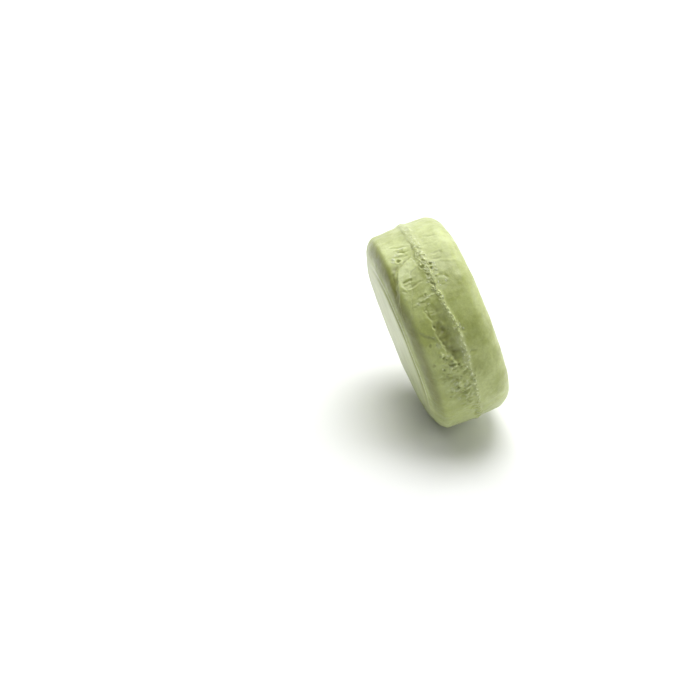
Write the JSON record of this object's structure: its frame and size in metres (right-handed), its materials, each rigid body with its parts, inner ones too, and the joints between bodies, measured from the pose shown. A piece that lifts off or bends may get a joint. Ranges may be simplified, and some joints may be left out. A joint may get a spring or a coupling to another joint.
{
  "type": "shaving soap puck",
  "caption": "Pressed round puck of pale green shaving soap with rounded edges, a ragged ridge of flash round the rim and a flat face to rest on.",
  "frame": {"origin": "centre of the flat underside that the puck rests on", "axes": "+Z along the puck's axis of revolution, from the underside to the broadly rounded upper face; -Y looks at the stretch of rim with the heaviest flash"},
  "size_m": [0.0648, 0.0649, 0.0256],
  "materials": {
    "soap_body": "waxy, slightly translucent pressed soap",
    "soap_flash": "dry, crumbly squeezed-out soap, paler than the body",
    "soap_skin": "thin smeared soap, waxy with dry edges",
    "soap_crumb": "dry pale soap crumb"
  },
  "bodies": {
    "root": {"upper_half": "soap_body", "lower_half": "soap_body", "flattened_flash": "soap_flash", "thin_flash": "soap_flash", "smooth_flash": "soap_flash", "rear_flash": "soap_flash", "crumbled_flash": "soap_flash", "lapped_skin": "soap_skin", "dry_scales": "soap_skin", "soap_crumbs": "soap_crumb"}
  },
  "joints": []
}
